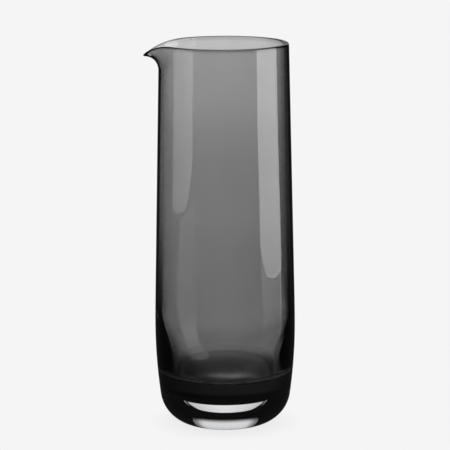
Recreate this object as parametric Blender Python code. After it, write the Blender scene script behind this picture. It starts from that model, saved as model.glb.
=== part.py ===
"""Carafe of cased glass: a smoke-grey bubble fused inside a colourless casing with a thick base and a pulled lip.

Metres, +Z up. The standing face lies on z = 0 with its centre at the origin, and the pouring lip points to -X.
"""

from math import acos, atan2, cos, hypot, pi, radians, sin, tan

import bmesh
import bpy
from mathutils import Vector
from mathutils.geometry import interpolate_bezier

# Outer form: a ground foot, a round heel, a low belly and a straight taper up to the rim.
HEIGHT = 0.260
FOOT_RADIUS = 0.0255
HEEL_RADIUS = 0.0442
HEEL_HEIGHT = 0.020
FLANK_LEAN = radians(7.7)
BELLY_RADIUS = 0.0475
BELLY_HEIGHT = 0.068
TAPER_RADIUS = 0.0471
TAPER_HEIGHT = 0.095
RIM_RADIUS = 0.0435

# Glass left between the outer form and the cavity: thin at the rim, thicker below, heavy under the floor.
RIM_WALL = 0.0030
BOWL_WALL = 0.0043
BOWL_HEIGHT = 0.080
CORNER_WALL = 0.0113
CORNER_RISE = 0.0045
CORNER_LEAN = radians(14)
BASE_THICKNESS = 0.0345

# The two layers of that glass: the lining thins from the belly both ways, and gathers to a bead at the rim.
# The gap stands for the fused joint between them.
LINING_AT_RIM = 0.0016
LINING_AT_NECK = 0.0010
LINING_AT_BELLY = 0.0014
LINING_AT_FLOOR = 0.0007
NECK_DEPTH = 0.0032
FUSED_GAP = 0.0003

# Rim: fire-polished round, over the height of this radius.
RIM_ROUND = 0.0014

# Lip: the wall bent out and down at the hot rim, with its tangents running back to the round rim.
LIP_REACH = 0.0126
LIP_DROP = 0.0090
LIP_DEPTH = 0.0180
LIP_DIP_START = 0.026
LIP_TIP_ROUND = radians(10)
LIP_FLARE_POWER = 1.56
LIP_DROP_POWER = 2.15
LIP_DIP_POWER = 3
LIP_THINNING = 0.5

# Facets
TURN_STEPS = 72
CURVE_STEPS = 6
ARC_STEPS = 8
WALL_STEPS = 4
LIP_STEPS = 8
RIM_STEPS = 4
FLOOR_STEPS = 2


def clear_scene():
    for obj in list(bpy.data.objects):
        bpy.data.objects.remove(obj)


def arc(centre, radius, start, end, steps):
    """Points (radius, height) on a circle in the profile plane, from one angle to another."""
    turn = (end - start) / steps
    angles = [start + turn * i for i in range(steps + 1)]
    return [centre + radius * Vector((cos(a), sin(a))) for a in angles]


def stretch(low, low_slope, high, high_slope, steps):
    """A Bezier stretch of wall between two points, each with its slope, radius over height."""
    third = (high.y - low.y) / 3
    low_handle = low + third * Vector((low_slope, 1))
    high_handle = high - third * Vector((high_slope, 1))
    points = interpolate_bezier(low, low_handle, high_handle, high, steps + 1)
    return [Vector(p[:2]) for p in points]


def straight(low, high, steps):
    return [low.lerp(high, i / steps) for i in range(steps + 1)]


def joined(*pieces):
    """One outline from pieces that each start where the last one ended."""
    outline = list(pieces[0])
    for piece in pieces[1:]:
        outline += piece[1:]
    return outline


def heel_arc(steps):
    """The round heel: it leaves the foot's edge and meets the flank at the flank's lean."""
    foot = Vector((FOOT_RADIUS, 0))
    top = Vector((HEEL_RADIUS, HEEL_HEIGHT))
    outward = Vector((cos(FLANK_LEAN), -sin(FLANK_LEAN)))
    chord = foot - top
    radius = -chord.length_squared / (2 * chord.dot(outward))
    centre = top - radius * outward
    start = atan2(foot.y - centre.y, foot.x - centre.x)
    return arc(centre, radius, start, -FLANK_LEAN, steps)


def taper_slope():
    return (RIM_RADIUS - TAPER_RADIUS) / (HEIGHT - TAPER_HEIGHT)


def outer_outline():
    """The outside from the foot's edge up to the start of the rim's rounding."""
    heel_top = Vector((HEEL_RADIUS, HEEL_HEIGHT))
    belly = Vector((BELLY_RADIUS, BELLY_HEIGHT))
    taper = Vector((TAPER_RADIUS, TAPER_HEIGHT))
    lip_low = Vector((RIM_RADIUS - taper_slope() * LIP_DEPTH, HEIGHT - LIP_DEPTH))
    rim = Vector((RIM_RADIUS, HEIGHT - RIM_ROUND))
    return joined(
        heel_arc(ARC_STEPS),
        stretch(heel_top, tan(FLANK_LEAN), belly, 0, CURVE_STEPS),
        stretch(belly, 0, taper, taper_slope(), CURVE_STEPS),
        straight(taper, lip_low, WALL_STEPS),
        straight(lip_low, rim, LIP_STEPS),
    )


def cavity_outline():
    """The inside from the floor's centre up to the start of the rim's rounding."""
    corner_top = Vector((BELLY_RADIUS - CORNER_WALL, BASE_THICKNESS + CORNER_RISE))
    corner_radius = CORNER_RISE / (1 - sin(CORNER_LEAN))
    outward = Vector((cos(CORNER_LEAN), -sin(CORNER_LEAN)))
    centre = corner_top - corner_radius * outward
    floor_edge = Vector((centre.x, BASE_THICKNESS))
    wide = Vector((BELLY_RADIUS - BOWL_WALL, BOWL_HEIGHT))
    mouth = Vector((RIM_RADIUS - RIM_WALL, HEIGHT - RIM_ROUND))
    slope = (mouth.x - wide.x) / (mouth.y - wide.y)
    lip_low = mouth - Vector((slope, 1)) * (LIP_DEPTH - RIM_ROUND)
    return joined(
        straight(Vector((0, BASE_THICKNESS)), floor_edge, FLOOR_STEPS),
        arc(centre, corner_radius, -pi / 2, -CORNER_LEAN, ARC_STEPS),
        stretch(corner_top, tan(CORNER_LEAN), wide, slope, CURVE_STEPS),
        straight(wide, lip_low, WALL_STEPS),
        straight(lip_low, mouth, LIP_STEPS),
    )


def lining_thickness(height):
    """The lining's thickness at a height, between the floor, the belly, the neck and the rim."""
    heights = (BASE_THICKNESS, BELLY_HEIGHT, HEIGHT - NECK_DEPTH, HEIGHT - RIM_ROUND)
    thicknesses = (LINING_AT_FLOOR, LINING_AT_BELLY, LINING_AT_NECK, LINING_AT_RIM)
    spans = list(zip(heights, heights[1:], thicknesses, thicknesses[1:]))
    low, high, start, end = next((s for s in spans if height <= s[1]), spans[-1])
    return start + (end - start) * (height - low) / (high - low)


def grown(outline, extra):
    """The outline moved into the glass: by the lining's own thickness at each height, and by extra."""
    moved = []
    last = len(outline) - 1
    for i, point in enumerate(outline):
        along = (outline[min(i + 1, last)] - outline[max(i - 1, 0)]).normalized()
        thickness = lining_thickness(point.y) + extra
        moved.append(point + thickness * Vector((along.y, -along.x)))
    moved[0].x = 0
    return moved


def rim_round(side, edge, steps):
    """A quarter of the polished rim, from the wall at side up and in to the rim's top at edge."""
    quarter = pi / 2 / steps
    return [
        Vector((edge + (side - edge) * cos(quarter * i), HEIGHT - RIM_ROUND * (1 - sin(quarter * i))))
        for i in range(1, steps + 1)
    ]


def casing_profile():
    """Closed outline of the colourless casing, from the foot's centre round to the top of its thick base."""
    inside = grown(cavity_outline(), FUSED_GAP)
    edge = inside[-1].x
    foot = straight(Vector((0, 0)), Vector((FOOT_RADIUS, 0)), FLOOR_STEPS)
    return joined(foot, outer_outline()) + rim_round(RIM_RADIUS, edge, RIM_STEPS) + inside[::-1]


def lining_profile():
    """Closed outline of the smoke-grey lining, from under its floor up over the rim to the cavity."""
    cavity = cavity_outline()
    outside = grown(cavity, 0)
    edge = outside[-1].x
    return outside + rim_round(cavity[-1].x, edge, RIM_STEPS)[::-1] + cavity[::-1]


def rim_reach(angle):
    """How far the rim stands out at an angle from the lip: two tangents of the round rim, rounded at the tip."""
    spread = acos(RIM_RADIUS / (RIM_RADIUS + LIP_REACH)) + LIP_TIP_ROUND
    off = spread - (angle**2 + LIP_TIP_ROUND**2) ** 0.5
    return RIM_RADIUS * (1 / cos(max(off, 0)) - 1)


def pull_lip(vertex):
    """Moves one point of the turned glass as the maker's tool does: the wall bends out along the lip, and down."""
    x, y, z = vertex.co
    fade = max(1 - (HEIGHT - z) / LIP_DEPTH, 0)
    angle = abs(atan2(y, -x))
    radius = hypot(x, y)
    if fade == 0 or angle > pi / 2 or radius == 0:
        return
    middle = RIM_RADIUS - RIM_WALL / 2 - taper_slope() * (HEIGHT - z)
    reach = rim_reach(angle)
    tip = RIM_RADIUS + LIP_REACH
    dip = ((RIM_RADIUS + reach) * cos(angle) - LIP_DIP_START) / (tip - LIP_DIP_START)
    out = reach * fade**LIP_FLARE_POWER
    down = LIP_DROP * max(dip, 0) ** LIP_DIP_POWER * fade**LIP_DROP_POWER
    rise = LIP_DEPTH - LIP_DROP_POWER * down / fade
    along = Vector((LIP_FLARE_POWER * out / fade, rise)).normalized()
    side = (radius - middle) * (1 - LIP_THINNING * fade * reach / LIP_REACH)
    stretched = (middle + out + side * along.y) / radius
    vertex.co = (x * stretched, y * stretched, z - down - side * along.x)


def glass(name, colour):
    material = bpy.data.materials.new(name)
    material.use_nodes = True
    shader = material.node_tree.nodes["Principled BSDF"]
    shader.inputs["Base Color"].default_value = (*colour, 1)
    shader.inputs["Roughness"].default_value = 0.02
    shader.inputs["Metallic"].default_value = 0
    shader.inputs["IOR"].default_value = 1.51
    shader.inputs["Transmission Weight"].default_value = 1
    return material


def turned(name, profile, material, parent):
    """One glass layer: its profile spun round the axis from the lip's side, then pulled into the lip."""
    mesh = bmesh.new()
    points = [mesh.verts.new((-p.x, 0, p.y)) for p in profile]
    edges = [mesh.edges.new(pair) for pair in zip(points, points[1:])]
    bmesh.ops.spin(
        mesh,
        geom=points + edges,
        cent=(0, 0, 0),
        axis=(0, 0, 1),
        dvec=(0, 0, 0),
        angle=2 * pi,
        steps=TURN_STEPS,
        use_merge=True,
        use_duplicate=False,
    )
    bmesh.ops.remove_doubles(mesh, verts=mesh.verts, dist=1e-6)
    for vertex in mesh.verts:
        pull_lip(vertex)
    # Both layers split each quad the same way, so their facets stay parallel across the gap.
    bmesh.ops.triangulate(mesh, faces=mesh.faces, quad_method="SHORT_EDGE")
    bmesh.ops.recalc_face_normals(mesh, faces=mesh.faces)
    for face in mesh.faces:
        face.smooth = True
    data = bpy.data.meshes.new(name)
    mesh.to_mesh(data)
    mesh.free()
    data.materials.append(material)
    obj = bpy.data.objects.new(name, data)
    obj.parent = parent
    bpy.context.scene.collection.objects.link(obj)
    return obj


def build():
    clear_scene()
    carafe = bpy.data.objects.new("carafe", None)
    bpy.context.scene.collection.objects.link(carafe)
    turned("clear_casing", casing_profile(), glass("clear_glass", (0.95, 0.96, 0.96)), carafe)
    turned("smoke_lining", lining_profile(), glass("smoke_glass", (0.17, 0.17, 0.175)), carafe)


build()
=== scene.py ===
"""Looks of the carafe: cased glass, a smoke-grey lining fused in a colourless casing, on a pale floor.

The glass repeats part.py's sizes and outlines in finer steps, in metres. The casing's mesh carries both
optical surfaces, outside and cavity, because light doesn't bend at the fused joint. The lining's mesh lies
just under the cavity's surface and only tints.
"""

from math import acos, atan2, cos, hypot, pi, radians, sin, tan
from types import SimpleNamespace

import bmesh
import bpy
from mathutils import Matrix, Vector
from mathutils.geometry import interpolate_bezier


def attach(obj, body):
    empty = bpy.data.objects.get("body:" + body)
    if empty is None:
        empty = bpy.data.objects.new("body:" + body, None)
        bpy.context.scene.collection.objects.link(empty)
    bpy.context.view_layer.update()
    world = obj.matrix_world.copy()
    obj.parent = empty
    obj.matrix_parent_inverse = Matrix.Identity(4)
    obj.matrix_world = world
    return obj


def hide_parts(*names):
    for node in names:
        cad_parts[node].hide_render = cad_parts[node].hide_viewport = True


# Outer form, as in part.py
HEIGHT = 0.260
FOOT_RADIUS = 0.0255
HEEL_RADIUS = 0.0442
HEEL_HEIGHT = 0.020
FLANK_LEAN = radians(7.7)
BELLY_RADIUS = 0.0475
BELLY_HEIGHT = 0.068
TAPER_RADIUS = 0.0471
TAPER_HEIGHT = 0.095
RIM_RADIUS = 0.0435

# Glass between the outer form and the cavity, as in part.py
RIM_WALL = 0.0030
BOWL_WALL = 0.0043
BOWL_HEIGHT = 0.080
CORNER_WALL = 0.0113
CORNER_RISE = 0.0045
CORNER_LEAN = radians(14)
BASE_THICKNESS = 0.0345
LINING_AT_RIM = 0.0016
LINING_AT_NECK = 0.0010
LINING_AT_BELLY = 0.0014
LINING_AT_FLOOR = 0.0007
NECK_DEPTH = 0.0032
RIM_ROUND = 0.0014

# Lip, as in part.py
LIP_REACH = 0.0126
LIP_DROP = 0.0090
LIP_DEPTH = 0.0180
LIP_DIP_START = 0.026
LIP_TIP_ROUND = radians(10)
LIP_FLARE_POWER = 1.56
LIP_DROP_POWER = 2.15
LIP_DIP_POWER = 3
LIP_THINNING = 0.5

# Glass: how it bends light, the joint where it doesn't, and the grey that the lining adds per metre
GLASS_IOR = 1.5
FUSED_IOR = 1.0
TINT_COLOUR = (0, 0, 0)
TINT_DENSITY = 450

# How far the lining's tint lies under the glass surface
SKIN = 0.00003

# Skin of the glass: cords in the wall, in turns per metre across and along, their depth, and how dull it gets
CORD_SCALE = (90, 90, 12)
CORD_DEPTH = 0.00002
CORD_SPAN = (0.3, 0.7)
POLISH_ROUGHNESS = 0.02
FLOOR_ROUGHNESS = 0.3
CORNER_ROUGHNESS = 0.75
STREAK_COLOUR = (0.985, 0.985, 0.99)

# Where the cavity's floor is dull, by radius and height: ramps from a start to an end, with the value at each
DULL_EDGE = (0.028, 0.033, FLOOR_ROUGHNESS, CORNER_ROUGHNESS)
DULL_REACH = (0.0405, 0.043, 1, 0)
DULL_RISE = (BASE_THICKNESS + 0.001, BASE_THICKNESS + 0.006, 1, 0)
DULL_START = BASE_THICKNESS - 0.004

# Steps of the fine glass
TURN_STEPS = 256
CURVE_STEPS = 20
ARC_STEPS = 28
WALL_STEPS = 20
LIP_STEPS = 30
RIM_STEPS = 10
FLOOR_STEPS = 6
MERGE_DISTANCE = 1e-6

# Camera, fitted to the photograph's outline
CAMERA_DISTANCE = 1.6596
CAMERA_HEIGHT = 0.4447
CAMERA_ASIDE = 0.000208
CAMERA_PITCH = radians(10.532)
CAMERA_ROLL = radians(0.251)
CAMERA_CLIP = 100
FOCAL_PIXELS = 2495.7
FRAME_PIXELS = 450
SENSOR_MM = 36
VIEW_TURN = radians(8)

# How many surfaces of the glass a ray has passed and how often it was mirrored: limits between whole numbers
ENTERED = 0.5
TINTED = 2.5
BOTH_WALLS = 5.5
NEAR_WALL = 6.5
MIRRORED = 0.5
MIRRORED_TWICE = 1.5

# Stage: its sizes, and its plain tones, where 1 is white
FLOOR_GAP = 0.0002
FLOOR_HALF = 12
# Painted contact shadow: how far round the carafe the floor's camera tone darkens by occlusion, and its
# darkest share
CONTACT_REACH = 0.02
CONTACT_SHADOW_TONE = 0.9
PALE = 0.913
BEHIND_GLASS = 0.86
# Tones that the floor and backdrop show to rays through or mirrored in the glass: painted light and shade
DARK = 0.003
DARK_OUTSIDE = 0.02
INSIDE_LEFT = 0.45
INSIDE_RIGHT = 0.10
IN_CORNER = 0.06
UNDER_FLOOR = 0.04
ABOVE_FLOOR = 0.5

# Light that the floor shows through both walls, by distance from the carafe: darkest close by, in its shade
NEAR_REACH = 0.22
NEAR_TONES = (
    (0.000, 0.110),
    (0.012, 0.100),
    (0.024, 0.072),
    (0.031, 0.065),
    (0.042, 0.085),
    (0.045, 0.130),
    (0.048, 0.220),
    (0.052, 0.310),
    (0.068, 0.305),
    (0.091, 0.315),
    (0.143, 0.385),
    (0.191, 0.520),
    (0.220, 0.560),
)
FAR_REACH = 2.0
FAR_TONES = (
    (0.220, 0.560),
    (0.285, 0.595),
    (0.620, 0.602),
    (0.740, 0.650),
    (0.950, 0.630),
    (1.080, 0.640),
    (1.300, 0.700),
    (1.530, 0.805),
    (1.920, 0.843),
)

# The same light by its bearing, how far aside over how far off: brighter to the left, darker to the right
BEARING_REACH = 0.8
BEARING_TONES = (
    (-0.80, 1.00),
    (-0.60, 1.18),
    (-0.35, 1.18),
    (-0.20, 1.02),
    (0.00, 1.00),
    (0.10, 0.95),
    (0.20, 0.72),
    (0.25, 0.58),
    (0.35, 0.52),
    (0.60, 0.50),
    (0.80, 1.00),
)

# Light mirrored in the round corner of the cavity, by its bearing
CORNER_TONES = (
    (-1.00, 0.100),
    (-0.97, 0.040),
    (-0.90, 0.014),
    (-0.50, 0.030),
    (0.00, 0.048),
    (0.50, 0.060),
    (0.90, 0.200),
    (1.00, 0.300),
)

# The floor's painted light and shade in detail. A ramp goes from a start to an end, with the value at each. A
# band rises between its first two places and falls between its last two. Places are distances from the carafe
# or behind it, or bearings.
BEHIND_IT = (-0.05, 0.05, 0, 1)
REAR = (0.2, 0.42, 0, 1)
FAR_OFF = (0.3, 0.55, 0, 1)
CLOSE = (0.09, 0.15, 1, 0)
NEARER_BAND = (0.09, 0.13, 0.2, 0.35)
HALFWAY_BAND = (0.2, 0.26, 0.4, 0.55)
LEFT_EDGE = (-0.6, -0.36, 0.48, 1)
LEFT_END = (-0.85, -0.55, 0.25, 1)
LEFT_SIDE = (-0.42, -0.25, 1.25, 1)
RIGHT_EDGE = (0.34, 0.40, 1, 0.45)
RIGHT_END = (0.55, 0.8, 1, 0.4)
RIGHT_SIDE_CLOSE = (0.25, 0.42, 1, 1.25)
RIGHT_SIDE_OFF = (0.25, 0.45, 1, 0.85)
RIGHT_SIDE_SPLIT = (0.14, 0.165, 0, 1)
UNDER_FOOT_BAND = (0.004, 0.0105, 0.0105, 0.017)
UNDER_FOOT_REACH = (0.02, 0.035, 1, 0)
UNDER_FOOT_LIGHT = 0.5
FRONT = (-0.008, 0.004, 0.35, 1)
FRONT_REACH = (0.03, 0.06, 1, 0)
BESIDE = (0.8, 0.92, 1, 0.35)
BESIDE_REACH = (0.048, 0.062, 1, 0)
FLANK = (0.4, 0.75, 1, 1.8)
FLANK_REACH = (0.034, 0.039, 1, 0)
WALL_BOW = 0.2
WALL_CLOSE = (0.1, 0.172, ABOVE_FLOOR, UNDER_FLOOR)
WALL_OFF = (0.26, 0.46, UNDER_FLOOR, BEHIND_GLASS)
BASE_REACH = (0.21, 0.36, 0.009, DARK)
BASE_RIGHT = (-0.1, 0.45, 1, 0.5)
INSIDE_ASIDE = (-0.05, 0.05, INSIDE_LEFT, INSIDE_RIGHT)
INSIDE_TURN = (0.4, 0.56, 0, 1)
INSIDE_REACH = (0.3, 0.95, 0, 1)
CORNER_REACH = (0.085, 0.12, 1, 0)
CORNER_FADE = (0.068, 0.092, 0.15, 2.2)
LIP_LIGHT_BAND = (-0.5, -0.42, -0.14, -0.08)
LIP_LIGHT_BOW = 0.35
LIP_LIGHT_REACH = (0.395, 0.425, 1, 0)
LIP_LIGHT_DEPTH = (0.06, 0.15, 0, BEHIND_GLASS)

# Grid of every lamp
LAMP_STEPS = 24

# Softboxes behind the carafe, by their angles from its foot, and how they fall off
LAVENDER = (0.97, 0.975, 1)
BACK_DISTANCE = 1.6
LOW_BOX_HALF = radians(25)
LOW_BOX_START = radians(6)
LOW_BOX_RISE = radians(6.5)
LOW_BOX_SQUARENESS = 9
LOW_BOX_LEAST = 0.02
LOW_BOX_SIDE_FALL = 0.36
LOW_BOX_SIDE_POWER = 1.5
LOW_BOX_TOP_FALL = 0.1
LOW_BOX_STRENGTH = 0.86
HIGH_BOX_HALF = radians(23)
HIGH_BOX_START = radians(15.6)
HIGH_BOX_SAG = radians(1.8)
HIGH_BOX_RISE = radians(45)
HIGH_BOX_FOOT = (radians(0.1), radians(2.2))
HIGH_BOX_SIDES = (0.6, 0.95)
HIGH_BOX_SIDE_FALL = 0.75
HIGH_BOX_STRENGTH = 0.78
ECHO_LEFT = radians(-28.3)
ECHO_RIGHT = radians(27)
ECHO_LEAN = 0.1
ECHO_WIDTH = radians(1.3)
ECHO_START = radians(5.5)
ECHO_RISE = radians(6)
ECHO_TOP_FALL = 0.8
ECHO_STRENGTH = 0.4

# Softboxes beside the carafe, and the band of light round its other sides
SIDE_BOX_HEIGHT = 0.8
SIDE_BOX_INNER = 0.45
SIDE_BOX_FOOT = 0.35
SET_BACK_HEIGHTS = (0.02, 0.14)
RING_START = radians(65)
RING_DISTANCE = 0.55
RING_FADE = 0.15

# Tones of the shines on the floor, and the spans over which they change, across and from far to near
LEFT_SHINE_NARROWS = (0.33, 0.48)
LEFT_SHINE_SLIMS = (0.4, 1)
LEFT_SHINE_PEAK = 0.8
LEFT_SHINE_PEAK_START = (0.38, 0.47)
LEFT_SHINE_PEAK_END = (0.56, 0.66)
LEFT_SHINE_SIDE = (0.85, 1)
LEFT_SHINE_END = (0.93, 1)
RIGHT_SHINE_START = 0.1
RIGHT_SHINE_BEFORE = 0.03
RIGHT_SHINE_AFTER = 0.01
RIGHT_SHINE_FAR = 1.3
RIGHT_SHINE_FAR_END = (0, 0.5)
RIGHT_SHINE_EDGE = 1.2
RIGHT_SHINE_EDGE_START = (0.9, 0.97)
RIGHT_SHINE_EDGE_END = (0.5, 0.9)
RIGHT_SHINE_FALL = 0.8
RIGHT_SHINE_END = (0.6, 1)

# Shines of the side boxes on the floor, from far to near, each step by its two ends
SHINE_HEIGHT = 0.0004
LEFT_SHINE = (
    ((-0.970, -0.840), (-1.000, -0.200)),
    ((-0.594, -0.529), (-0.750, -0.060)),
    ((-0.401, -0.414), (-0.540, -0.030)),
    ((-0.300, -0.280), (-0.400, -0.090)),
    ((-0.215, -0.250), (-0.290, -0.120)),
    ((-0.155, -0.222), (-0.225, -0.115)),
    ((-0.095, -0.212), (-0.185, -0.115)),
    ((-0.090, -0.190), (-0.165, -0.120)),
)
RIGHT_SHINE = (
    ((0.690, -0.391), (0.710, 0.172)),
    ((0.485, -0.262), (0.485, 0.110)),
    ((0.395, -0.192), (0.385, 0.075)),
    ((0.262, -0.160), (0.280, 0.030)),
)


def arc(centre, radius, start, end, steps):
    """Points (radius, height) on a circle in the profile plane, from one angle to another."""
    turn = (end - start) / steps
    angles = [start + turn * i for i in range(steps + 1)]
    return [centre + radius * Vector((cos(a), sin(a))) for a in angles]


def stretch(low, low_slope, high, high_slope, steps):
    """A Bezier stretch of wall between two points, each with its slope, radius over height."""
    third = (high.y - low.y) / 3
    low_handle = low + third * Vector((low_slope, 1))
    high_handle = high - third * Vector((high_slope, 1))
    points = interpolate_bezier(low, low_handle, high_handle, high, steps + 1)
    return [Vector(p[:2]) for p in points]


def straight(low, high, steps):
    return [low.lerp(high, i / steps) for i in range(steps + 1)]


def joined(*pieces):
    """One outline from pieces that each start where the last one ended."""
    outline = list(pieces[0])
    for piece in pieces[1:]:
        outline += piece[1:]
    return outline


def heel_arc(steps):
    """The round heel: it leaves the foot's edge and meets the flank at the flank's lean."""
    foot = Vector((FOOT_RADIUS, 0))
    top = Vector((HEEL_RADIUS, HEEL_HEIGHT))
    outward = Vector((cos(FLANK_LEAN), -sin(FLANK_LEAN)))
    chord = foot - top
    radius = -chord.length_squared / (2 * chord.dot(outward))
    centre = top - radius * outward
    start = atan2(foot.y - centre.y, foot.x - centre.x)
    return arc(centre, radius, start, -FLANK_LEAN, steps)


def taper_slope():
    return (RIM_RADIUS - TAPER_RADIUS) / (HEIGHT - TAPER_HEIGHT)


def outer_outline():
    """The outside from the foot's edge up to the start of the rim's rounding."""
    heel_top = Vector((HEEL_RADIUS, HEEL_HEIGHT))
    belly = Vector((BELLY_RADIUS, BELLY_HEIGHT))
    taper = Vector((TAPER_RADIUS, TAPER_HEIGHT))
    lip_low = Vector((RIM_RADIUS - taper_slope() * LIP_DEPTH, HEIGHT - LIP_DEPTH))
    rim = Vector((RIM_RADIUS, HEIGHT - RIM_ROUND))
    return joined(
        heel_arc(ARC_STEPS),
        stretch(heel_top, tan(FLANK_LEAN), belly, 0, CURVE_STEPS),
        stretch(belly, 0, taper, taper_slope(), CURVE_STEPS),
        straight(taper, lip_low, WALL_STEPS),
        straight(lip_low, rim, LIP_STEPS),
    )


def cavity_outline():
    """The inside from the floor's centre up to the start of the rim's rounding."""
    corner_top = Vector((BELLY_RADIUS - CORNER_WALL, BASE_THICKNESS + CORNER_RISE))
    corner_radius = CORNER_RISE / (1 - sin(CORNER_LEAN))
    outward = Vector((cos(CORNER_LEAN), -sin(CORNER_LEAN)))
    centre = corner_top - corner_radius * outward
    floor_edge = Vector((centre.x, BASE_THICKNESS))
    wide = Vector((BELLY_RADIUS - BOWL_WALL, BOWL_HEIGHT))
    mouth = Vector((RIM_RADIUS - RIM_WALL, HEIGHT - RIM_ROUND))
    slope = (mouth.x - wide.x) / (mouth.y - wide.y)
    lip_low = mouth - Vector((slope, 1)) * (LIP_DEPTH - RIM_ROUND)
    return joined(
        straight(Vector((0, BASE_THICKNESS)), floor_edge, FLOOR_STEPS),
        arc(centre, corner_radius, -pi / 2, -CORNER_LEAN, ARC_STEPS),
        stretch(corner_top, tan(CORNER_LEAN), wide, slope, CURVE_STEPS),
        straight(wide, lip_low, WALL_STEPS),
        straight(lip_low, mouth, LIP_STEPS),
    )


def sunk(outline, depths):
    """The outline moved into the glass, each point by its own depth."""
    moved = []
    last = len(outline) - 1
    for i, point in enumerate(outline):
        along = (outline[min(i + 1, last)] - outline[max(i - 1, 0)]).normalized()
        moved.append(point + depths[i] * Vector((along.y, -along.x)))
    moved[0].x = 0
    return moved


def lining_depths(outline):
    """The lining's thickness at each point of the cavity, between floor, belly, neck and rim."""
    heights = (BASE_THICKNESS, BELLY_HEIGHT, HEIGHT - NECK_DEPTH, HEIGHT - RIM_ROUND)
    thicknesses = (LINING_AT_FLOOR, LINING_AT_BELLY, LINING_AT_NECK, LINING_AT_RIM)
    spans = list(zip(heights, heights[1:], thicknesses, thicknesses[1:]))
    depths = []
    for point in outline:
        low, high, start, end = next((s for s in spans if point.y <= s[1]), spans[-1])
        depths.append(start + (end - start) * (point.y - low) / (high - low))
    return depths


def rim_round(side, edge, steps):
    """A quarter of the polished rim, from the wall at side up and in to the rim's top at edge."""
    quarter = pi / 2 / steps
    return [
        Vector((edge + (side - edge) * cos(quarter * i), HEIGHT - RIM_ROUND * (1 - sin(quarter * i))))
        for i in range(1, steps + 1)
    ]


def glass_profile():
    """Closed outline of all the glass: from the foot's centre up outside, over the rim and down inside."""
    cavity = cavity_outline()
    edge = RIM_RADIUS - RIM_WALL / 2
    foot = straight(Vector((0, 0)), Vector((FOOT_RADIUS, 0)), FLOOR_STEPS)
    outside = joined(foot, outer_outline()) + rim_round(RIM_RADIUS, edge, RIM_STEPS)
    return outside + rim_round(cavity[-1].x, edge, RIM_STEPS)[-2::-1] + cavity[::-1]


def lining_profile():
    """Closed outline of the tinted lining, just under the surface of the cavity and the rim's inner half."""
    cavity = cavity_outline()
    joint = sunk(cavity, lining_depths(cavity))
    edge = joint[-1].x
    surface = cavity + rim_round(cavity[-1].x, RIM_RADIUS - RIM_WALL / 2, RIM_STEPS)
    surface = [p for p in surface if p.x <= edge or p.y < HEIGHT - RIM_ROUND]
    surface = sunk(surface, [SKIN] * len(surface))
    return joint + surface[::-1]


def rim_reach(angle):
    """How far the rim stands out at an angle from the lip: two tangents of the rim, with a round tip."""
    spread = acos(RIM_RADIUS / (RIM_RADIUS + LIP_REACH)) + LIP_TIP_ROUND
    off = spread - (angle**2 + LIP_TIP_ROUND**2) ** 0.5
    return RIM_RADIUS * (1 / cos(max(off, 0)) - 1)


def pull_lip(vertex):
    """Moves one point of the turned glass as the maker's tool does: out along the lip, and down."""
    x, y, z = vertex.co
    fade = max(1 - (HEIGHT - z) / LIP_DEPTH, 0)
    angle = abs(atan2(y, -x))
    radius = hypot(x, y)
    if fade == 0 or angle > pi / 2 or radius == 0:
        return
    middle = RIM_RADIUS - RIM_WALL / 2 - taper_slope() * (HEIGHT - z)
    reach = rim_reach(angle)
    tip = RIM_RADIUS + LIP_REACH
    dip = ((RIM_RADIUS + reach) * cos(angle) - LIP_DIP_START) / (tip - LIP_DIP_START)
    out = reach * fade**LIP_FLARE_POWER
    down = LIP_DROP * max(dip, 0) ** LIP_DIP_POWER * fade**LIP_DROP_POWER
    rise = LIP_DEPTH - LIP_DROP_POWER * down / fade
    along = Vector((LIP_FLARE_POWER * out / fade, rise)).normalized()
    side = (radius - middle) * (1 - LIP_THINNING * fade * reach / LIP_REACH)
    stretched = (middle + out + side * along.y) / radius
    vertex.co = (x * stretched, y * stretched, z - down - side * along.x)


def turned(name, profile, material):
    """One glass mesh: its profile spun round the axis from the lip's side, then pulled into the lip."""
    mesh = bmesh.new()
    points = [mesh.verts.new((-p.x, 0, p.y)) for p in profile]
    edges = [mesh.edges.new(pair) for pair in zip(points, points[1:])]
    if profile[-1].x > 0:
        edges.append(mesh.edges.new((points[-1], points[0])))
    bmesh.ops.spin(
        mesh,
        geom=points + edges,
        cent=(0, 0, 0),
        axis=(0, 0, 1),
        dvec=(0, 0, 0),
        angle=2 * pi,
        steps=TURN_STEPS,
        use_merge=True,
        use_duplicate=False,
    )
    bmesh.ops.remove_doubles(mesh, verts=mesh.verts, dist=MERGE_DISTANCE)
    for vertex in mesh.verts:
        pull_lip(vertex)
    bmesh.ops.recalc_face_normals(mesh, faces=mesh.faces)
    for face in mesh.faces:
        face.smooth = True
    data = bpy.data.meshes.new(name)
    mesh.to_mesh(data)
    mesh.free()
    data.materials.append(material)
    obj = bpy.data.objects.new(name, data)
    bpy.context.scene.collection.objects.link(obj)
    return obj


def glass(name, ior):
    material = bpy.data.materials.new(name)
    material.use_nodes = True
    shader = material.node_tree.nodes["Principled BSDF"]
    shader.inputs["Base Color"].default_value = (1, 1, 1, 1)
    shader.inputs["Roughness"].default_value = 0
    shader.inputs["IOR"].default_value = ior
    shader.inputs["Transmission Weight"].default_value = 1
    return material


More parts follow.
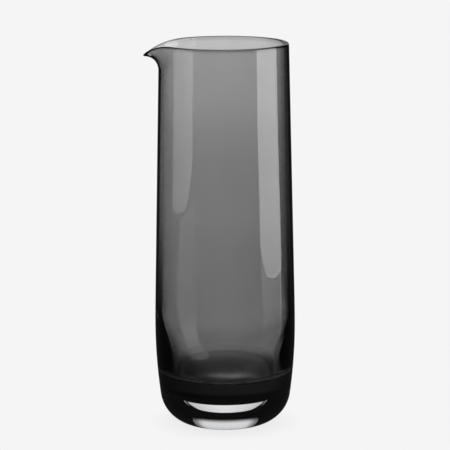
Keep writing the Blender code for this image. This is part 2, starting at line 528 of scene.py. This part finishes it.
def cords(material):
    """The skin of hot-worked glass: faint cords drawn along the wall. Gives their value socket."""
    tree = material.node_tree
    place = tree.nodes.new("ShaderNodeTexCoord").outputs["Object"]
    along = tree.nodes.new("ShaderNodeVectorMath")
    along.operation = "MULTIPLY"
    along.inputs[1].default_value = CORD_SCALE
    tree.links.new(place, along.inputs[0])
    noise = tree.nodes.new("ShaderNodeTexNoise")
    noise.inputs["Scale"].default_value = 1
    noise.inputs["Detail"].default_value = 1
    tree.links.new(along.outputs[0], noise.inputs["Vector"])
    bump = tree.nodes.new("ShaderNodeBump")
    bump.inputs["Strength"].default_value = 1
    bump.inputs["Distance"].default_value = CORD_DEPTH
    tree.links.new(noise.outputs[0], bump.inputs["Height"])
    tree.links.new(bump.outputs[0], tree.nodes["Principled BSDF"].inputs["Normal"])
    return noise.outputs[0]


def polished(material):
    """The casing's skin: a soft polish that varies with the cords, and a duller floor in the cavity, where no
    tool reaches."""
    drawn = cords(material)
    tree = material.node_tree
    place = tree.nodes.new("ShaderNodeTexCoord").outputs["Object"]
    height = vector_value(tree, "DOT_PRODUCT", place, (0, 0, 1))
    level = tree.nodes.new("ShaderNodeVectorMath")
    level.operation = "MULTIPLY"
    level.inputs[1].default_value = (1, 1, 0)
    tree.links.new(place, level.inputs[0])
    radius = vector_value(tree, "LENGTH", level.outputs[0])
    dull = times(
        tree,
        ramp(tree, radius, *DULL_EDGE),
        ramp(tree, height, *DULL_RISE),
        ramp(tree, radius, *DULL_REACH),
        calc(tree, "GREATER_THAN", height, DULL_START),
    )
    polish = ramp(tree, drawn, *CORD_SPAN, 0, POLISH_ROUGHNESS)
    tree.links.new(calc(tree, "ADD", polish, dull), tree.nodes["Principled BSDF"].inputs["Roughness"])


def streaked(material):
    """The lining's colour, a little uneven along the cords."""
    drawn = cords(material)
    tree = material.node_tree
    mix = tree.nodes.new("ShaderNodeMix")
    mix.data_type = "RGBA"
    mix.inputs[6].default_value = (*STREAK_COLOUR, 1)
    mix.inputs[7].default_value = (1, 1, 1, 1)
    tree.links.new(ramp(tree, drawn, *CORD_SPAN, 0, 1), mix.inputs[0])
    tree.links.new(mix.outputs[2], tree.nodes["Principled BSDF"].inputs["Base Color"])


def tint(material, colour, density):
    nodes = material.node_tree.nodes
    volume = nodes.new("ShaderNodeVolumeAbsorption")
    volume.inputs["Color"].default_value = (*colour, 1)
    volume.inputs["Density"].default_value = density
    material.node_tree.links.new(volume.outputs[0], nodes["Material Output"].inputs["Volume"])


def joint_value(tree, socket, value):
    """Gives an input socket a number, or links it to another socket."""
    if isinstance(value, (int, float)):
        socket.default_value = value
    else:
        tree.links.new(value, socket)


def calc(tree, operation, a, b):
    node = tree.nodes.new("ShaderNodeMath")
    node.operation = operation
    joint_value(tree, node.inputs[0], a)
    joint_value(tree, node.inputs[1], b)
    return node.outputs[0]


def either(tree, factor, low, high):
    """A value socket: low where factor is 0, and high where it is 1."""
    node = tree.nodes.new("ShaderNodeMix")
    joint_value(tree, node.inputs["Factor"], factor)
    joint_value(tree, node.inputs["A"], low)
    joint_value(tree, node.inputs["B"], high)
    return node.outputs[0]


def ramp(tree, value, start, end, low, high):
    """A value socket that goes smoothly from low at start to high at end."""
    node = tree.nodes.new("ShaderNodeMapRange")
    node.interpolation_type = "SMOOTHSTEP"
    joint_value(tree, node.inputs["Value"], value)
    node.inputs["From Min"].default_value = start
    node.inputs["From Max"].default_value = end
    node.inputs["To Min"].default_value = low
    node.inputs["To Max"].default_value = high
    return node.outputs[0]


def band(tree, value, start, full, fading, end):
    """A value socket that rises from 0 at start to 1 at full, and falls from 1 at fading to 0 at end."""
    return calc(tree, "MULTIPLY", ramp(tree, value, start, full, 0, 1), ramp(tree, value, fading, end, 1, 0))


def vector_value(tree, operation, a, b=None):
    """A value socket: the length of a vector, or its product with another."""
    node = tree.nodes.new("ShaderNodeVectorMath")
    node.operation = operation
    tree.links.new(a, node.inputs[0])
    if b:
        node.inputs[1].default_value = b
    return node.outputs["Value"]


def table(tree, value, low, high, stops):
    """A value socket that follows stops, pairs of a value from low to high and the tone there."""
    node = tree.nodes.new("ShaderNodeValToRGB")
    elements = node.color_ramp.elements
    places = [(place - low) / (high - low) for place, _ in stops]
    elements[0].position = places[0]
    elements[1].position = places[-1]
    for place in places[1:-1]:
        elements.new(place)
    for element, (_, tone) in zip(elements, stops):
        element.color = (tone, tone, tone, 1)
    share = tree.nodes.new("ShaderNodeMapRange")
    share.inputs["From Min"].default_value = low
    share.inputs["From Max"].default_value = high
    tree.links.new(value, share.inputs["Value"])
    tree.links.new(share.outputs[0], node.inputs[0])
    return node.outputs["Color"]


def times(tree, value, *factors):
    """A value socket: the value times each factor."""
    for factor in factors:
        value = calc(tree, "MULTIPLY", value, factor)
    return value


def where(tree, share, factor):
    """A factor socket: the factor where share is 1, and 1, which changes nothing, where it is 0."""
    return either(tree, share, 1, factor)


def by_path(tree, walls, wall, base, outside, inside, in_base):
    """A value socket picked by a ray's way through the glass: through two tinted walls or one, through clear
    glass alone, mirrored on the outside, mirrored inside the tinted glass, or inside clear glass alone."""
    path = tree.nodes.new("ShaderNodeLightPath")
    passed = path.outputs["Transmission Depth"]
    tinted = calc(tree, "GREATER_THAN", passed, TINTED)
    entered = calc(tree, "GREATER_THAN", passed, ENTERED)
    mirrored = calc(tree, "GREATER_THAN", path.outputs["Glossy Depth"], MIRRORED)
    twice = calc(tree, "GREATER_THAN", passed, BOTH_WALLS)
    straight_on = either(tree, tinted, base, either(tree, twice, wall, walls))
    reflected = either(tree, entered, outside, either(tree, tinted, in_base, inside))
    return either(tree, mirrored, straight_on, reflected)


def once(tree, value):
    """A value socket: the value for rays that were mirrored no more than once, and 0 for the rest."""
    path = tree.nodes.new("ShaderNodeLightPath")
    few = calc(tree, "LESS_THAN", path.outputs["Glossy Depth"], MIRRORED_TWICE)
    return calc(tree, "MULTIPLY", value, few)


def camera_or(tree, camera_value, other):
    """A value socket: camera_value for camera rays, and other for the rest."""
    path = tree.nodes.new("ShaderNodeLightPath")
    return either(tree, path.outputs["Is Camera Ray"], other, camera_value)


def stage_mesh(name, corners, faces, shown=False):
    data = bpy.data.meshes.new(name)
    data.from_pydata(corners, [], faces)
    obj = bpy.data.objects.new(name, data)
    bpy.context.scene.collection.objects.link(obj)
    obj.visible_camera = shown
    obj.visible_shadow = shown
    material = bpy.data.materials.new(name)
    material.use_nodes = True
    tree = material.node_tree
    tree.nodes.clear()
    emission = tree.nodes.new("ShaderNodeEmission")
    output = tree.nodes.new("ShaderNodeOutputMaterial")
    tree.links.new(emission.outputs[0], output.inputs["Surface"])
    data.materials.append(material)
    return data, tree, emission


def floor_spot(tree):
    """Value sockets for a point of the floor: its distance from the carafe, how far it lies aside and behind,
    its bearing, which is aside over distance, and how far that turns off to either side."""
    place = tree.nodes.new("ShaderNodeNewGeometry").outputs["Position"]
    distance = vector_value(tree, "LENGTH", place)
    aside = vector_value(tree, "DOT_PRODUCT", place, (cos(VIEW_TURN), sin(VIEW_TURN), 0))
    depth = vector_value(tree, "DOT_PRODUCT", place, (-sin(VIEW_TURN), cos(VIEW_TURN), 0))
    bearing = calc(tree, "DIVIDE", aside, distance)
    return SimpleNamespace(
        distance=distance,
        aside=aside,
        depth=depth,
        bearing=bearing,
        turned_off=calc(tree, "ABSOLUTE", bearing, 0),
    )


def slant_tone(tree, spot):
    """How the floor's tone changes with the bearing behind the carafe: by its table far off, and by its edges
    closer up."""
    far_off = times(tree, ramp(tree, spot.depth, *BEHIND_IT), ramp(tree, spot.distance, *FAR_OFF))
    slant = where(tree, far_off, table(tree, spot.bearing, -BEARING_REACH, BEARING_REACH, BEARING_TONES))
    close = ramp(tree, spot.distance, *CLOSE)
    nearer = band(tree, spot.distance, *NEARER_BAND)
    halfway = band(tree, spot.distance, *HALFWAY_BAND)
    right_side = either(
        tree,
        ramp(tree, spot.distance, *RIGHT_SIDE_SPLIT),
        ramp(tree, spot.bearing, *RIGHT_SIDE_CLOSE),
        ramp(tree, spot.bearing, *RIGHT_SIDE_OFF),
    )
    edges = (
        where(tree, close, ramp(tree, spot.bearing, *LEFT_EDGE)),
        where(tree, close, ramp(tree, spot.bearing, *LEFT_END)),
        where(tree, nearer, ramp(tree, spot.bearing, *LEFT_SIDE)),
        where(tree, halfway, ramp(tree, spot.bearing, *RIGHT_EDGE)),
        where(tree, close, ramp(tree, spot.bearing, *RIGHT_END)),
        where(tree, nearer, right_side),
    )
    rear = ramp(tree, calc(tree, "DIVIDE", spot.depth, spot.distance), *REAR)
    return times(tree, slant, *[where(tree, rear, edge) for edge in edges])


def walls_tone(tree, spot):
    """The floor through both walls: by distance, with a painted patch of light under the foot and changes
    round it.
    """
    near = table(tree, spot.distance, 0, NEAR_REACH, NEAR_TONES)
    far = table(tree, spot.distance, 0, FAR_REACH, FAR_TONES)
    tone = either(tree, calc(tree, "GREATER_THAN", spot.distance, NEAR_REACH), near, far)
    patch = times(
        tree,
        band(tree, spot.depth, *UNDER_FOOT_BAND),
        UNDER_FOOT_LIGHT,
        ramp(tree, spot.distance, *UNDER_FOOT_REACH),
    )
    return times(
        tree,
        calc(tree, "ADD", tone, patch),
        where(tree, ramp(tree, spot.distance, *FRONT_REACH), ramp(tree, spot.depth, *FRONT)),
        where(tree, ramp(tree, spot.distance, *BESIDE_REACH), ramp(tree, spot.turned_off, *BESIDE)),
        where(tree, ramp(tree, spot.distance, *FLANK_REACH), ramp(tree, spot.turned_off, *FLANK)),
    )


def wall_tone(tree, spot):
    """The floor through one wall: a dark stretch of painted shade behind the carafe, which bows with the
    bearing.
    """
    off = calc(tree, "SUBTRACT", spot.distance, calc(tree, "MULTIPLY", spot.turned_off, WALL_BOW))
    above = either(tree, ramp(tree, spot.depth, *BEHIND_IT), ABOVE_FLOOR, ramp(tree, off, *WALL_CLOSE))
    return calc(tree, "MAXIMUM", above, ramp(tree, off, *WALL_OFF))


def inside_tone(tree, spot):
    """The floor mirrored inside the tinted glass: at the sides, in the cavity's corner and in the lip."""
    sides = times(
        tree,
        ramp(tree, spot.aside, *INSIDE_ASIDE),
        ramp(tree, spot.turned_off, *INSIDE_TURN),
        ramp(tree, spot.distance, *INSIDE_REACH),
    )
    corner = times(
        tree,
        table(tree, spot.bearing, -1, 1, CORNER_TONES),
        ramp(tree, spot.distance, *CORNER_REACH),
        ramp(tree, spot.distance, *CORNER_FADE),
    )
    reach = calc(tree, "ADD", spot.distance, calc(tree, "MULTIPLY", spot.turned_off, LIP_LIGHT_BOW))
    lip = times(
        tree,
        band(tree, spot.bearing, *LIP_LIGHT_BAND),
        ramp(tree, reach, *LIP_LIGHT_REACH),
        ramp(tree, spot.depth, *LIP_LIGHT_DEPTH),
    )
    return calc(tree, "MAXIMUM", calc(tree, "ADD", sides, once(tree, corner)), once(tree, lip))


def floor():
    h = FLOOR_HALF
    corners = [(-h, -h, -FLOOR_GAP), (h, -h, -FLOOR_GAP), (h, h, -FLOOR_GAP), (-h, h, -FLOOR_GAP)]
    _, tree, emission = stage_mesh("floor", corners, [(0, 1, 2, 3)], shown=True)
    # Through the glass the floor's emission paints light and shade: dark near the carafe, brighter to the
    # left
    spot = floor_spot(tree)
    slant = slant_tone(tree, spot)
    through = by_path(
        tree,
        walls=calc(tree, "MULTIPLY", slant, walls_tone(tree, spot)),
        wall=calc(tree, "MULTIPLY", slant, wall_tone(tree, spot)),
        base=times(tree, ramp(tree, spot.distance, *BASE_REACH), ramp(tree, spot.bearing, *BASE_RIGHT)),
        outside=DARK_OUTSIDE,
        inside=inside_tone(tree, spot),
        in_base=DARK,
    )
    # Painted contact shadow: ambient occlusion darkens the floor's even camera tone near the carafe
    hidden = tree.nodes.new("ShaderNodeAmbientOcclusion")
    hidden.inputs["Distance"].default_value = CONTACT_REACH
    shown = calc(tree, "MULTIPLY", PALE, ramp(tree, hidden.outputs["AO"], 0, 1, CONTACT_SHADOW_TONE, 1))
    tree.links.new(camera_or(tree, shown, through), emission.inputs["Strength"])


def backdrop():
    world = bpy.data.worlds.new("backdrop")
    bpy.context.scene.world = world
    world.use_nodes = True
    tree = world.node_tree
    background = tree.nodes["Background"]
    background.inputs["Color"].default_value = (1, 1, 1, 1)
    through = by_path(
        tree,
        walls=BEHIND_GLASS,
        wall=BEHIND_GLASS,
        base=DARK,
        outside=DARK,
        inside=once(tree, IN_CORNER),
        in_base=DARK,
    )
    tree.links.new(camera_or(tree, PALE, through), background.inputs["Strength"])


def lamp(name, place, glow, strength, colour=(1, 1, 1)):
    """A light of any outline and fall-off. Place and glow give each point of its grid, across and up, from 0
    to 1."""
    turn = Matrix.Rotation(VIEW_TURN, 3, "Z")
    row = LAMP_STEPS + 1
    grid = [(i / LAMP_STEPS, j / LAMP_STEPS) for j in range(row) for i in range(row)]
    corners = [turn @ Vector(place(u, v)) for u, v in grid]
    starts = [j * row + i for j in range(LAMP_STEPS) for i in range(LAMP_STEPS)]
    faces = [(s, s + 1, s + 1 + row, s + row) for s in starts]
    data, tree, emission = stage_mesh(name, corners, faces)
    light = data.attributes.new("glow", "FLOAT", "POINT")
    light.data.foreach_set("value", [glow(u, v) for u, v in grid])
    emission.inputs["Color"].default_value = (*colour, 1)
    attribute = tree.nodes.new("ShaderNodeAttribute")
    attribute.attribute_name = "glow"
    return tree, emission, calc(tree, "MULTIPLY", attribute.outputs["Fac"], strength)


def back_box(name, place, glow, strength):
    """A softbox behind the carafe. The clear base and reflections see it, and behind the tint it counts as
    backdrop."""
    tree, emission, lit = lamp(name, place, glow, strength, LAVENDER)
    seen = by_path(tree, BEHIND_GLASS, BEHIND_GLASS, lit, lit, 0, lit)
    tree.links.new(seen, emission.inputs["Strength"])


def added_light(name, place, glow, strength, base=0, outside=0, inside=0):
    """A light that is only added to what is behind it, by its share for rays through the clear base, for
    reflections on the outside and for reflections inside the near wall."""
    tree, emission, lit = lamp(name, place, glow, strength)
    in_base, on_outside, on_inside = [calc(tree, "MULTIPLY", lit, share) for share in (base, outside, inside)]
    passed = tree.nodes.new("ShaderNodeLightPath").outputs["Transmission Depth"]
    in_wall = calc(tree, "MULTIPLY", once(tree, on_inside), calc(tree, "LESS_THAN", passed, NEAR_WALL))
    seen = by_path(tree, 0, 0, in_base, on_outside, in_wall, on_outside)
    tree.links.new(seen, emission.inputs["Strength"])
    clear = tree.nodes.new("ShaderNodeBsdfTransparent")
    both = tree.nodes.new("ShaderNodeAddShader")
    tree.links.new(emission.outputs[0], both.inputs[0])
    tree.links.new(clear.outputs[0], both.inputs[1])
    tree.links.new(both.outputs[0], tree.nodes["Material Output"].inputs["Surface"])


def shine(name, steps, glow, strength):
    """The shine of a softbox on the floor, from far to near: light added for outside reflections alone."""

    def place(u, v):
        whole = min(int(v * (len(steps) - 1)), len(steps) - 2)
        share = v * (len(steps) - 1) - whole
        far, near = steps[whole], steps[whole + 1]
        start = Vector(far[0]).lerp(Vector(near[0]), share)
        spot = start.lerp(Vector(far[1]).lerp(Vector(near[1]), share), u)
        return spot.x, spot.y, SHINE_HEIGHT

    added_light(name, place, glow, strength, outside=1)


def smooth(value, start, end):
    share = min(max((value - start) / (end - start), 0), 1)
    return share * share * (3 - 2 * share)


def behind(azimuth, elevation):
    """A point of the plane behind the carafe, by its angles from the foot."""
    return BACK_DISTANCE * tan(azimuth), BACK_DISTANCE, BACK_DISTANCE * tan(elevation)


def low_box():
    """The lower softbox behind the carafe: almost square, and dimmer at its sides and its top."""

    def place(u, v):
        side = 2 * u - 1
        rise = LOW_BOX_RISE * max(1 - abs(side) ** LOW_BOX_SQUARENESS, LOW_BOX_LEAST)
        return behind(LOW_BOX_HALF * side, LOW_BOX_START + rise * v)

    def glow(u, v):
        side = abs(2 * u - 1)
        return 1 - LOW_BOX_SIDE_FALL * side**LOW_BOX_SIDE_POWER - LOW_BOX_TOP_FALL * v

    back_box("low_box", place, glow, LOW_BOX_STRENGTH)


def high_box():
    """The upper softbox behind the carafe: it starts higher at its sides, and fades in from its foot."""

    def place(u, v):
        side = 2 * u - 1
        start = HIGH_BOX_START + HIGH_BOX_SAG * side**2
        return behind(HIGH_BOX_HALF * side, start + HIGH_BOX_RISE * v**2)

    def glow(u, v):
        foot = smooth(HIGH_BOX_RISE * v**2, *HIGH_BOX_FOOT)
        return foot * (1 - HIGH_BOX_SIDE_FALL * smooth(abs(2 * u - 1), *HIGH_BOX_SIDES))

    back_box("high_box", place, glow, HIGH_BOX_STRENGTH)


def echo(name, azimuth):
    """The thin second edge of the low box, beside it."""

    def place(u, v):
        return behind(azimuth * (1 - ECHO_LEAN * v) + ECHO_WIDTH * u, ECHO_START + ECHO_RISE * v)

    back_box(name, place, lambda u, v: 1 - ECHO_TOP_FALL * v, ECHO_STRENGTH)


def ring(name, low, rise, strength):
    """A band of light round the other sides, for the clear base alone, by its elevation."""

    def place(u, v):
        azimuth = RING_START + 2 * (pi - RING_START) * u
        height = RING_DISTANCE * tan(low + rise * v)
        return RING_DISTANCE * sin(azimuth), RING_DISTANCE * cos(azimuth), height

    added_light(name, place, lambda u, v: smooth(min(u, 1 - u), 0, RING_FADE), strength, base=1)


def foot_rise(u):
    """The rise of a side box's foot, from 1 at its near edge down to 0."""
    return max(1 - u / SIDE_BOX_FOOT, 0) ** 2


def side_box(name, x, near, far, low_shift, near_foot, far_foot, strength, glow):
    """A softbox beside the carafe, in a plane of constant x. Its lower part is set back by low_shift, its
    foot is highest at its near edge, and it glows by its share from near to far and by height."""

    def height(u, v):
        return far_foot + (near_foot - far_foot) * foot_rise(u) + SIDE_BOX_HEIGHT * v**2

    def place(u, v):
        back = low_shift * (1 - smooth(height(u, v), *SET_BACK_HEIGHTS))
        return x, near + (far - near) * u + back, height(u, v)

    added_light(name, place, lambda u, v: glow(u, height(u, v)), strength, outside=1, inside=SIDE_BOX_INNER)


def left_glow(u, height):
    """The left softbox: brighter towards the camera."""
    return 1.2 - 0.48 * u


def right_glow(u, height):
    """The right softbox: a little dimmer at its foot."""
    return 0.88 + 0.12 * smooth(height, 0, 0.08) + 0.04 * smooth(height, 0.13, 0.2)


def left_shine(u, v):
    """Wide and faint by the softbox, brightest halfway, and narrower at its near end."""
    near = smooth(v, *LEFT_SHINE_NARROWS)
    wide = 0.45 + 0.75 * u
    narrow = 1.3 - 0.6 * smooth(u, *LEFT_SHINE_SLIMS)
    halfway = LEFT_SHINE_PEAK * (smooth(v, *LEFT_SHINE_PEAK_START) - smooth(v, *LEFT_SHINE_PEAK_END))
    ends = (1 - smooth(u, *LEFT_SHINE_SIDE)) * (1 - smooth(v, *LEFT_SHINE_END))
    return ((1 - near) * wide + near * narrow + halfway) * ends


def right_shine(u, v):
    """Starts at the foot of its softbox, has a bright edge away from the camera, and fades at its near
    end."""
    start = RIGHT_SHINE_START * (1 - foot_rise(u))
    begun = smooth(v, start - RIGHT_SHINE_BEFORE, start + RIGHT_SHINE_AFTER)
    far = 1 + RIGHT_SHINE_FAR * (1 - smooth(v, *RIGHT_SHINE_FAR_END))
    edge = RIGHT_SHINE_EDGE * smooth(u, *RIGHT_SHINE_EDGE_START) * (1 - smooth(v, *RIGHT_SHINE_EDGE_END))
    return far * begun * (1 + edge) * (1 - RIGHT_SHINE_FALL * smooth(v, *RIGHT_SHINE_END))


def camera():
    data = bpy.data.cameras.new("camera")
    data.sensor_width = SENSOR_MM
    data.lens = FOCAL_PIXELS / FRAME_PIXELS * SENSOR_MM
    data.clip_end = CAMERA_CLIP
    obj = bpy.data.objects.new("camera", data)
    bpy.context.scene.collection.objects.link(obj)
    obj.matrix_world = (
        Matrix.Rotation(VIEW_TURN, 4, "Z")
        @ Matrix.Translation((CAMERA_ASIDE, -CAMERA_DISTANCE, CAMERA_HEIGHT))
        @ Matrix.Rotation(pi / 2 - CAMERA_PITCH, 4, "X")
        @ Matrix.Rotation(-CAMERA_ROLL, 4, "Z")
    )
    bpy.context.scene.camera = obj


def carafe():
    clear = glass("clear_glass", GLASS_IOR)
    smoke = glass("smoke_glass", FUSED_IOR)
    tint(smoke, TINT_COLOUR, TINT_DENSITY)
    polished(clear)
    streaked(smoke)
    casing = turned("casing", glass_profile(), clear)
    lining = turned("lining", lining_profile(), smoke)
    pieces = (
        (casing, "clear_casing", "clear_glass"),
        (lining, "smoke_lining", "smoke_glass"),
    )
    for piece, node, slot in pieces:
        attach(piece, "root")
        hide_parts(node)


def stage():
    floor()
    backdrop()
    low_box()
    high_box()
    echo("echo_left", ECHO_LEFT)
    echo("echo_right", ECHO_RIGHT)
    side_box(
        "left_box",
        x=-1.0,
        near=-0.690,
        far=0.125,
        low_shift=0,
        near_foot=0.045,
        far_foot=0.006,
        strength=1.62,
        glow=left_glow,
    )
    side_box(
        "right_box",
        x=0.63,
        near=-0.396,
        far=0.138,
        low_shift=0.03,
        near_foot=0.018,
        far_foot=0.001,
        strength=3.8,
        glow=right_glow,
    )
    ring("low_ring", low=radians(5.5), rise=radians(7), strength=0.8)
    ring("high_ring", low=radians(15.6), rise=radians(45), strength=0.7)
    shine("left_shine", LEFT_SHINE, left_shine, strength=0.65)
    shine("right_shine", RIGHT_SHINE, right_shine, strength=0.6)


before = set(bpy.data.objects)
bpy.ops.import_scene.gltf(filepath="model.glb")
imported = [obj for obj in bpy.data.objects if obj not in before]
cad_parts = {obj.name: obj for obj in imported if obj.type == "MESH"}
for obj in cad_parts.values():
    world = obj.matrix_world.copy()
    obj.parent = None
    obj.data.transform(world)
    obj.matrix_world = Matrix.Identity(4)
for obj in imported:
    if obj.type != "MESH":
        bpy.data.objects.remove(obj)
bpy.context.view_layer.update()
carafe()
stage()
camera()
bpy.context.scene.view_settings.view_transform = "Standard"
